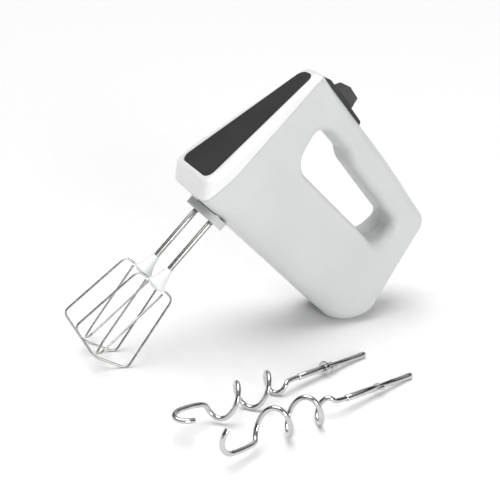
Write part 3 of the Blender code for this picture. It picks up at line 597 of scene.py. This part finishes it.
def skinColumns(inset):
    # each column runs over the side, from the outer outline to the opening's, as (point, half width)
    arcSteps = body["arcSteps"]
    outer = roundedOutline(body["outline"])
    inner = roundedOutline(body["opening"])
    angles = rayAngles([outer, inner])
    directions = [Vector((math.cos(angle), math.sin(angle))) for angle in angles]
    outerRing = [body["centre"] + direction * rayHit(outer, direction) for direction in directions]
    innerRing = [body["centre"] + direction * rayHit(inner, direction) for direction in directions]
    columns = []
    for direction, outerPoint, innerPoint, outNormal, inNormal in zip(
            directions, outerRing, innerRing, ringNormals(outerRing), ringNormals(innerRing)):
        # the outer rounding runs in along the ray, so that tight corners never fold over
        inwardRay = direction / -max(0.4, direction.dot(outNormal))
        arcs = []
        for point, step, (reach, drawn) in ((outerPoint, inwardRay, edgeRounding(outerPoint)),
                                            (innerPoint, inNormal, openingRounding(innerPoint))):
            spot = point + step * inset
            inward = max(1.0, reach - inset)
            sideways = max(1.0, drawn - inset)
            arc = [(spot, 0.0)]
            for part in range(arcSteps + 1):
                turn = math.pi / 2 * part / arcSteps
                moved = spot + step * inward * (1.0 - math.cos(turn))
                drop = sideways * (1.0 - math.sin(turn))
                arc.append((moved, max(0.0, halfWidth(moved.y) - inset - drop)))
            arcs.append(arc)
        first = arcs[0][-1][0]
        last = arcs[1][-1][0]
        flat = [first.lerp(last, share) for share in body["flatShares"]]
        middle = [(point, halfWidth(point.y) - inset) for point in flat]
        columns.append(arcs[0] + middle + arcs[1][::-1])
    return columns


def addSheet(bm, columns, side, lift):
    grid = []
    for column in columns:
        spots = [(point.x * mm, side * max(width, lift) * mm, point.y * mm) for point, width in column]
        grid.append([bm.verts.new(spot) for spot in spots])
    for index, here in enumerate(grid):
        following = grid[(index + 1) % len(grid)]
        for row in range(len(here) - 1):
            bm.faces.new((here[row], following[row], following[row + 1], here[row + 1]))
    return grid


def shellMesh(side):
    # one half of the housing, an outer and an inner skin joined along the seam
    bm = bmesh.new()
    outside = addSheet(bm, skinColumns(0.0), side, body["seam"])
    inside = addSheet(bm, skinColumns(body["wall"]), side, body["seam"])
    for row in (0, -1):
        for index in range(len(outside)):
            after = (index + 1) % len(outside)
            bm.faces.new((outside[index][row], outside[after][row], inside[after][row], inside[index][row]))
    return bm


def fullSkin(inset):
    # both sides as one closed solid
    bm = bmesh.new()
    columns = skinColumns(inset)
    addSheet(bm, columns, -1.0, 0.0)
    addSheet(bm, columns, 1.0, 0.0)
    bmesh.ops.remove_doubles(bm, verts=bm.verts, dist=0.000001)
    return bm


def bezelZone(shift):
    # everything ahead of the line where the bezel meets the shells
    line = [(x + shift, z) for x, z in body["bezelLine"]]
    line += [(body["ahead"], line[-1][1]), (body["ahead"], line[0][1])]
    block = extruded(line, 1, -body["aside"], body["aside"])
    return addPiece("bezelZone", meshFrom(block, "bezelZone", mixerMatrix))


# holes in the shells, in mm: boxes by two corners, round ones by start, end and radius

cuts = {
    "pocket": ((-4.4, -8.8, -1.5), (52.7, 8.8, 12.0)),
    "slot": ((7.0, -2.6, -9.0), (48.0, 2.6, 14.0)),
    "inlet": ((165.0, 0.0, 96.0), (195.0, 0.0, 96.0), 5.6),
    "socket": (-5.0, 11.5, 6.2),
    "screw": (5.5, 45.0, 3.4),
}
well = {
    "start": 0.3,      # mm from the middle plane
    "sunk": 1.2,       # mm below the side
    "radius": 4.6,
}


def makeHousing(tools):
    zone = bezelZone(body["seam"])
    pocket = boxTool("stripPocket", *cuts["pocket"], topMatrix)
    slot = boxTool("neckSlot", *cuts["slot"], topMatrix)
    inlet = rodsTool("inletHole", [cuts["inlet"]], mixerMatrix)
    low, high, radius = cuts["socket"]
    rods = [((0.0, y, low), (0.0, y, high), radius) for y in (-body["spindle"], body["spindle"])]
    sockets = rodsTool("socketHoles", rods, mixerMatrix)
    low, high, radius = cuts["screw"]
    rods = [((x, low, z), (x, high, z), radius) for x, z in body["screws"]]
    holes = rodsTool("screwHoles", rods, mixerMatrix)
    tools += [zone, pocket, slot, inlet, sockets, holes]
    for side, word in ((-1.0, "left"), (1.0, "right")):
        name = f"{word}HousingShell"
        shell = addPiece(name, meshFrom(shellMesh(side), name, mixerMatrix), shellGrey)
        for tool in (zone, pocket, slot, inlet, sockets):
            cutWith(shell, tool)
        if side > 0:
            wells = addPiece("screwWells", wellMesh(), shellGrey)
            tools.append(wells)
            cutWith(shell, wells, "UNION")
            cutWith(shell, holes)
        bakeModifiers(shell)
        shell.data.set_sharp_from_angle(angle=math.radians(body["creaseAngle"]))
        place(shell, "housing", "shell_grey", f"{word}_housing")
    return slot


def wellMesh():
    # posts that the screws go down, from near the middle plane to just below the side
    bm = bmesh.new()
    radius = well["radius"] * mm
    turn = Matrix.Rotation(math.pi / 2, 4, "X")
    for x, z in body["screws"]:
        end = halfWidth(z) - well["sunk"]
        spot = Matrix.Translation(Vector((x, (end + well["start"]) / 2, z)) * mm) @ turn
        bmesh.ops.create_cone(bm, cap_ends=True, segments=40, radius1=radius, radius2=radius,
                              depth=(end - well["start"]) * mm, matrix=spot)
    return meshFrom(bm, "screwWells", mixerMatrix)


# front bezel, and the panel let into it

panel = {
    "corners": [(-25.8, 0.4, 7.0), (25.8, 0.4, 7.0), (8.4, 119.5, 7.5), (-8.4, 119.5, 7.5)],
    "middle": Vector((0.0, 60.0)),
    "faces": (-0.5, 1.2),      # mm in from the front, less than nothing where it stands proud
    "recess": (-6.0, 1.5),
    "gap": 0.4,
    "edge": 0.45,
}


def panelOutline(grow):
    middle = panel["middle"]
    return [point + (point - middle).normalized() * grow for point in roundedOutline(panel["corners"])]


def makeBezel(tools):
    zone = bezelZone(-body["seam"])
    core = addPiece("bezelCore", meshFrom(fullSkin(body["bezelWall"]), "bezelCore", mixerMatrix))
    hollow = extruded(panelOutline(panel["gap"]), 0, *panel["recess"])
    recess = addPiece("panelRecess", meshFrom(hollow, "panelRecess", frontMatrix))
    tools += [zone, core, recess]
    bezel = addPiece("frontBezel", meshFrom(fullSkin(0.0), "frontBezel", mixerMatrix), bezelWhite)
    cutWith(bezel, core)
    cutWith(bezel, zone, "INTERSECT")
    cutWith(bezel, recess)
    bakeModifiers(bezel)
    bezel.data.set_sharp_from_angle(angle=math.radians(body["creaseAngle"]))
    place(bezel, "housing", "bezel_white", "front_bezel")


def makePanel():
    sheet = extruded(panelOutline(0.0), 0, *panel["faces"])
    plate = addPiece("frontPanel", meshFrom(sheet, "frontPanel", frontMatrix), charcoal)
    bevelEdges(plate, panel["edge"] * mm, 3)
    bakeModifiers(plate)
    place(plate, "housing", "charcoal", "front_panel")


# control strip and thumb selector on the handle

controls = {
    "strip": [(-4.0, -1.2, 0.3), (52.3, -1.2, 0.3), (52.3, 0.9, 0.8), (50.3, 2.8, 1.2), (1.5, 2.8, 4.0),
              (-4.0, 0.2, 0.6)],
    "stripHalf": 8.4,
    "stripEdge": 0.7,
    "knob": [(12.6, 3.1, 0.4), (36.0, 3.1, 0.4), (34.2, 8.0, 6.0), (33.2, 12.3, 1.8), (19.2, 12.9, 2.2),
             (16.0, 6.4, 6.0)],
    "knobHalf": 7.2,
    "knobEdge": 1.1,
    "neck": ((19.0, -2.2, -4.2), (29.0, 2.2, 5.0)),
}


def profilePiece(name, corners, half, look):
    # side view of a control, drawn out to both sides of the middle
    block = extruded(roundedOutline(corners), 1, -half, half)
    return addPiece(name, meshFrom(block, name, topMatrix), look)


def makeControls(slot):
    strip = profilePiece("controlStrip", controls["strip"], controls["stripHalf"], charcoal)
    bevelEdges(strip, controls["stripEdge"] * mm, 3)
    cutWith(strip, slot)
    bakeModifiers(strip)
    place(strip, "housing", "charcoal", "control_strip")
    knob = profilePiece("selectorKnob", controls["knob"], controls["knobHalf"], knobCharcoal)
    bevelEdges(knob, controls["knobEdge"] * mm, 4)
    neck = boxTool("knobNeck", *controls["neck"], topMatrix)
    cutWith(knob, neck, "UNION")
    bakeModifiers(knob)
    bpy.data.objects.remove(neck)
    knob.data.set_sharp_from_angle(angle=math.radians(40.0))
    place(knob, "selector", "charcoal", "selector_knob")


# collar round the two sockets

collar = {
    "radius": 10.4,
    "height": 6.8,
    "hole": 5.2,
    "steps": 40,       # along each round end
    "edge": 0.6,
}


def makeCollar():
    apart = body["spindle"]
    radius = collar["radius"]
    turns = [math.pi * step / collar["steps"] for step in range(collar["steps"] + 1)]
    line = [(radius * math.cos(turn), apart + radius * math.sin(turn)) for turn in turns]
    line += [(-x, -y) for x, y in line]
    holes = [circleLine(collar["hole"], (0.0, y)) for y in (-apart, apart)]
    block = extruded(line, 2, 0.0, collar["height"], holes)
    band = addPiece("socketCollar", meshFrom(block, "socketCollar", mixerMatrix), collarGrey)
    bevelEdges(band, collar["edge"] * mm, 3, 60.0)
    bakeModifiers(band)
    place(band, "housing", "collar_grey", "socket_collar")


# wires: one node tree sweeps a round section along a path

wireSides = 20


def wireTree():
    tree = bpy.data.node_groups.new("bentWire", "GeometryNodeTree")
    face = tree.interface
    face.new_socket(name="Path", in_out="INPUT", socket_type="NodeSocketGeometry")
    for name, kind, value in (("Wire Radius", "NodeSocketFloat", mm), ("Sides", "NodeSocketInt", wireSides)):
        face.new_socket(name=name, in_out="INPUT", socket_type=kind).default_value = value
    face.new_socket(name="Look", in_out="INPUT", socket_type="NodeSocketMaterial")
    face.new_socket(name="Wire", in_out="OUTPUT", socket_type="NodeSocketGeometry")
    start = tree.nodes.new("NodeGroupInput")
    end = tree.nodes.new("NodeGroupOutput")
    kinds = ["MeshToCurve", "CurvePrimitiveCircle", "CurveToMesh", "RealizeInstances", "SetShadeSmooth",
             "SetMaterial"]
    path, ring, sweep, real, smooth, paint = [tree.nodes.new("GeometryNode" + kind) for kind in kinds]
    join = tree.links.new
    join(start.outputs["Path"], path.inputs["Mesh"])
    join(start.outputs["Wire Radius"], ring.inputs["Radius"])
    join(start.outputs["Sides"], ring.inputs["Resolution"])
    join(path.outputs["Curve"], sweep.inputs["Curve"])
    join(ring.outputs["Curve"], sweep.inputs["Profile Curve"])
    sweep.inputs["Fill Caps"].default_value = True
    join(sweep.outputs["Mesh"], smooth.inputs["Geometry"])
    join(smooth.outputs["Geometry"], real.inputs["Geometry"])
    join(real.outputs["Geometry"], paint.inputs["Geometry"])
    join(start.outputs["Look"], paint.inputs["Material"])
    join(paint.outputs["Geometry"], end.inputs["Wire"])
    return tree


bentWire = wireTree()


def makeWire(name, points, radius, look, matrix):
    mesh = bpy.data.meshes.new(name)
    steps = [(index, index + 1) for index in range(len(points) - 1)]
    mesh.from_pydata([matrix @ point for point in points], steps, [])
    wire = addPiece(name, mesh)
    sweep = wire.modifiers.new("bentWire", "NODES")
    sweep.node_group = bentWire
    keys = {item.name: item.identifier for item in bentWire.interface.items_tree if item.in_out == "INPUT"}
    sweep[keys["Wire Radius"]] = radius
    sweep[keys["Sides"]] = wireSides
    sweep[keys["Look"]] = look
    bakeModifiers(wire)
    return wire


# beaters

beater = {
    "phase": math.radians(18.0),
    "disc": -65.0,
    "tip": -141.0,
    "wire": 0.9,
    # the wide loop's half, as (out, height from the disc)
    "wideLegs": [(9.3, -0.5), (18.2, -0.9), (27.4, -67.3)],
    "wideBend": 5.5,
    # the crossed loop's half, as (out, across, height from the disc)
    "crossedStart": (8.2, 3.6, -3.2),
    "crossedCorner": (-4.5, 25.3, -65.8),
    "crossedRise": 2.9,
    "crossedBend": 5.0,
    # turned pieces, as (radius, height)
    "stem": [(0, 38.0), (1.6, 38.0), (2.0, 37.7), (2.4, 37.0), (2.4, -62.0), (2.1, -62.4), (0, -62.4)],
    "hub": [(0, -62.7), (2.7, -62.7), (2.7, -49.5), (3.1, -49.5), (3.4, -49.9), (3.6, -51.0), (4.0, -54.0),
            (4.8, -57.5), (5.9, -60.6), (7.2, -63.0), (8.3, -64.4), (8.6, -65.0), (8.6, -65.5), (8.2, -66.1),
            (7.2, -67.0), (5.6, -67.9), (3.6, -68.7), (1.6, -69.1), (0, -69.2)],
}


def roundedRun(points, reach, steps=9):
    # a bent run of wire: each inner corner gives way to a curve that starts a reach before it
    result = [points[0]]
    for before, here, after in zip(points, points[1:], points[2:]):
        first = here + (before - here).normalized() * reach
        last = here + (after - here).normalized() * reach
        for step in range(steps):
            share = step / (steps - 1)
            result.append(first * (1 - share) ** 2 + here * 2 * share * (1 - share) + last * share * share)
    result.append(points[-1])
    return result


def opposite(point):
    return Vector((-point.x, -point.y, point.z))


def loopPaths():
    # the wide loop from rim to rim, and the crossed loop inside it, in m from the beater's axis
    turn = beater["phase"]
    wide = Vector((math.cos(turn), -math.sin(turn), 0.0))
    sideways = Vector((-math.sin(turn), -math.cos(turn), 0.0))
    up = Vector((0.0, 0.0, 1.0))

    def spot(out, across, height):
        return wide * out + sideways * across + up * (beater["disc"] + height)

    legs = [spot(out, 0.0, height) for out, height in beater["wideLegs"]]
    wideRun = legs + [up * beater["tip"]] + [opposite(point) for point in legs[::-1]]
    start = spot(*beater["crossedStart"])
    corner = spot(*beater["crossedCorner"])
    middle = up * (beater["tip"] + beater["crossedRise"])
    crossedRun = [start, corner, middle, opposite(corner), opposite(start)]
    runs = ((wideRun, beater["wideBend"]), (crossedRun, beater["crossedBend"]))
    return [[point * mm for point in roundedRun(run, reach)] for run, reach in runs]


def makeBeaters():
    wideLoop, crossedLoop = loopPaths()
    for side, word in ((-1, "left"), (1, "right")):
        matrix = mixerMatrix @ Matrix.Translation((0.0, side * body["spindle"] * mm, 0.0))
        group = f"{word}_beater"
        stem = addPiece(f"{word}BeaterStem", meshFrom(turned(beater["stem"]), "stem", matrix), chrome)
        place(stem, group, "chrome", f"{word}_beater_stem")
        hub = addPiece(f"{word}BeaterHub", meshFrom(turned(beater["hub"]), "hub", matrix, 50.0), hubWhite)
        place(hub, group, "hub_white", f"{word}_beater_hub")
        for path, label in ((wideLoop, "Wide"), (crossedLoop, "Crossed")):
            wire = makeWire(f"{word}{label}Loop", path, beater["wire"] * mm, chrome, matrix)
            place(wire, group, "chrome", f"{word}_{label.lower()}_loop")


# dough hooks

hook = {
    "wire": 2.0,
    "stem": 2.6,
    "stemLength": 77.0,
    "helix": 12.4,
    "sideHelix": 8.5,
    "rise": 10.0,
    "coils": 2.0,          # whole turns from the first top to the last
    "coilSteps": 60,
    "tipRun": 20.7,
    "tipSteps": 32,
    "heading": 14.4,
    "leadIn": 0.3,         # mm from the stem's end to the wire's
    "straight": 3.0,       # mm that the wire runs on before the coils
    # turned pieces, as (radius, height from the outer end)
    "stemLine": [(0, 77.0), (2.1, 77.0), (2.6, 76.4), (2.6, 42.6), (2.3, 42.0), (2.3, 7.0), (2.6, 6.4),
                 (2.6, 0.9), (1.9, 0.0), (0, 0.0)],
    "disc": [(2.9, 48.8), (5.2, 48.8), (5.6, 48.4), (5.6, 46.7), (5.2, 46.3), (2.9, 46.3), (2.9, 48.8)],
    "lugs": ((-1.1, -3.9, 36.0), (1.1, 3.9, 41.5)),
    "lugEdge": 0.35,
}
hookLayout = {
    "left": {"end": (128.0, -126.4), "hand": -1.0, "firstTop": 119.4, "pitch": 31.2, "start": 88.5,
             "tipSide": (0.0, -1.0), "tipSweep": 135.0},
    "right": {"end": (111.2, -83.5), "hand": 1.0, "firstTop": 111.0, "pitch": 30.5, "start": 89.0,
              "tipSide": (-1.0, 0.0), "tipSweep": 170.0},
}


def hookPath(layout):
    # (along, across, up) in mm from the stem's outer end
    hand = layout["hand"]
    side = layout["tipSide"]
    start = layout["start"]
    pitch = layout["pitch"]
    points = [Vector((hook["stemLength"] + hook["leadIn"], 0.0, 0.0)),
              Vector((start - hook["straight"], 0.0, 0.0))]
    lastTurn = math.atan2(hand * side[0], side[1])
    lastAlong = layout["firstTop"] + pitch * (lastTurn / (2 * math.pi) + hook["coils"])
    steps = math.ceil((lastAlong - start) / pitch * hook["coilSteps"])
    for step in range(steps + 1):
        along = start + (lastAlong - start) * step / steps
        turn = 2 * math.pi * (along - layout["firstTop"]) / pitch
        reach = min(1.0, (along - start) / hook["rise"])
        across = hand * hook["sideHelix"] * reach * math.sin(turn)
        points.append(Vector((along, across, hook["helix"] * reach * math.cos(turn))))
    centre = lastAlong + hook["tipRun"]
    for step in range(hook["tipSteps"] + 1):
        turn = math.radians(layout["tipSweep"]) * step / hook["tipSteps"]
        across = side[0] * hook["sideHelix"] * math.cos(turn)
        rise = side[1] * hook["helix"] * math.cos(turn)
        points.append(Vector((centre + hook["helix"] * math.sin(turn), across, rise)))
    return eased(points)


def eased(points, rounds=6):
    # relaxes the tight joins between straight, helix and tip
    for _ in range(rounds):
        threes = zip(points, points[1:], points[2:])
        middle = [(before + here * 2 + after) / 4 for before, here, after in threes]
        points = [points[0], *middle, points[-1]]
    return points


def hookMatrix(layout, path):
    # the stem's end and the wire's lowest bend both lie on the floor
    pitch = 0.0
    for _ in range(20):
        lowest = min(path, key=lambda point: point.x * math.sin(pitch) + point.z * math.cos(pitch))
        rise = hook["wire"] - hook["stem"] * math.cos(pitch) - lowest.z * math.cos(pitch)
        pitch = math.asin(rise / lowest.x)
    x, y = layout["end"]
    spot = Vector((collarPlace.x + x * mm, collarPlace.y + y * mm, hook["stem"] * mm * math.cos(pitch)))
    turn = Matrix.Rotation(math.radians(180.0 + hook["heading"]), 4, "Z") @ Matrix.Rotation(-pitch, 4, "Y")
    return Matrix.Translation(spot) @ turn


def makeHooks():
    for word, layout in hookLayout.items():
        path = hookPath(layout)
        matrix = hookMatrix(layout, path)
        group = f"{word}_hook"
        run = [point * mm for point in path]
        wire = makeWire(f"{word}HookWire", run, hook["wire"] * mm, hookChrome, matrix)
        place(wire, group, "chrome", f"{word}_hook_wire")
        axis = matrix @ Matrix.Rotation(math.pi / 2, 4, "Y")
        stem = addPiece(f"{word}HookStem", meshFrom(turned(hook["stemLine"]), "stem", axis), hookChrome)
        lugs = boxTool("hookLugs", *hook["lugs"], axis)
        bevelEdges(lugs, hook["lugEdge"] * mm, 2)
        cutWith(stem, lugs, "UNION")
        bakeModifiers(stem)
        bpy.data.objects.remove(lugs)
        stem.data.set_sharp_from_angle(angle=math.radians(40.0))
        place(stem, group, "chrome", f"{word}_hook_stem")
        if word == "right":
            disc = addPiece("rightHookDisc", meshFrom(turned(hook["disc"]), "disc", axis), hookChrome)
            place(disc, group, "chrome", "right_hook_disc")


# what stays as the CAD made it gets its own look

def dressInside():
    slots = {entry["node"]: entry["material_slot"] for entry in frame["record"]["subparts"]}
    for name, node in nodes.items():
        look = slotLooks.get(slots.get(name))
        if look and not node.hide_render:
            for index in range(len(node.material_slots)):
                node.material_slots[index].material = look


# floor, light and camera

studio = {
    "floor": 60.0,
    "paperGrain": 90.0,
    "paperDark": (0.90, 0.90, 0.90),
    "paperLight": (0.92, 0.92, 0.92),
    "paperRoughness": 0.9,
    # height from straight down at 0 to straight up at 1, and how bright
    "sky": [(0.0, 0.40), (0.50, 0.72), (0.60, 0.66), (0.65, 0.03), (0.76, 0.04), (0.84, 0.42), (1.0, 0.42)],
    "aim": Vector((0.0, 0.0, 0.08)),
    "lamps": {
        # kind, place, width in m or spread in degrees, power
        "overhead": ("SUN", (-0.15, 0.20, 1.60), 55.0, 2.35),
        "frontFill": ("AREA", (-0.05, -1.75, 0.65), 0.7, 14.5),
    },
}


def makeFloor():
    bm = bmesh.new()
    bmesh.ops.create_grid(bm, x_segments=2, y_segments=2, size=studio["floor"])
    floor = addPiece("studioFloor", meshFrom(bm, "studioFloor", Matrix.Identity(4)))
    paper = Look("floorPaper")
    grain = paper.noise(studio["paperGrain"])
    tone = paper.blend(paper.between(grain, 0.0, 1.0), studio["paperDark"], studio["paperLight"])
    floor.data.materials.append(paper.finish(baseColor=tone, roughness=studio["paperRoughness"]))


def makeSky():
    world = bpy.data.worlds.new("softSky")
    bpy.context.scene.world = world
    world.use_nodes = True
    tree = world.node_tree
    sky = tree.nodes["Background"]
    where = tree.nodes.new("ShaderNodeTexCoord")
    split = tree.nodes.new("ShaderNodeSeparateXYZ")
    height = tree.nodes.new("ShaderNodeMapRange")
    height.inputs["From Min"].default_value = -1.0
    ramp = tree.nodes.new("ShaderNodeValToRGB")
    stops = ramp.color_ramp.elements
    for _ in studio["sky"][2:]:
        stops.new(0.5)
    for stop, (spot, grey) in zip(stops, studio["sky"]):
        stop.position = spot
        stop.color = (grey, grey, grey, 1.0)
    tree.links.new(where.outputs["Generated"], split.inputs["Vector"])
    tree.links.new(split.outputs["Z"], height.inputs["Value"])
    tree.links.new(height.outputs["Result"], ramp.inputs["Fac"])
    tree.links.new(ramp.outputs["Color"], sky.inputs["Color"])


def makeLamps():
    for name, (kind, spot, size, power) in studio["lamps"].items():
        data = bpy.data.lights.new(name, kind)
        if kind == "SUN":
            data.angle = math.radians(size)
        else:
            data.size = size
        data.energy = power
        lamp = bpy.data.objects.new(name, data)
        bpy.context.scene.collection.objects.link(lamp)
        lamp.location = spot
        lamp.rotation_euler = (studio["aim"] - Vector(spot)).to_track_quat("-Z", "Y").to_euler()


lens = {
    "place": Vector((-441.0, -675.0, 0.0)),     # mm from the collar, on the mixer's own axes
    "back": Vector((-0.594, -0.804, -0.005)),
    "up": Vector((-0.530, 0.387, 0.755)),
    "focal": 72.0,
    "sensor": 36.0,
    "farthest": 20.0,
}


def makeCamera():
    data = bpy.data.cameras.new("studioCamera")
    data.lens = lens["focal"]
    data.sensor_width = lens["sensor"]
    data.clip_end = lens["farthest"]
    camera = bpy.data.objects.new("studioCamera", data)
    bpy.context.scene.collection.objects.link(camera)
    turn = mixerMatrix.to_3x3()
    back = (turn @ lens["back"]).normalized()
    side = (turn @ lens["up"]).cross(back).normalized()
    axes = Matrix((side, back.cross(side), back)).transposed()
    camera.matrix_world = Matrix.Translation(mixerMatrix @ (lens["place"] * mm)) @ axes.to_4x4()
    bpy.context.scene.camera = camera
    bpy.context.scene.view_settings.view_transform = "Standard"


tools = []
neckSlot = makeHousing(tools)
print("housing shells done")
makeBezel(tools)
makePanel()
print("bezel and panel done")
makeControls(neckSlot)
makeCollar()
print("controls and collar done")
for tool in tools:
    bpy.data.objects.remove(tool)
makeBeaters()
print("beaters done")
makeHooks()
print("hooks done")
dressInside()
makeFloor()
makeSky()
makeLamps()
makeCamera()
print("looks, floor, light and camera done")
print("scene complete")
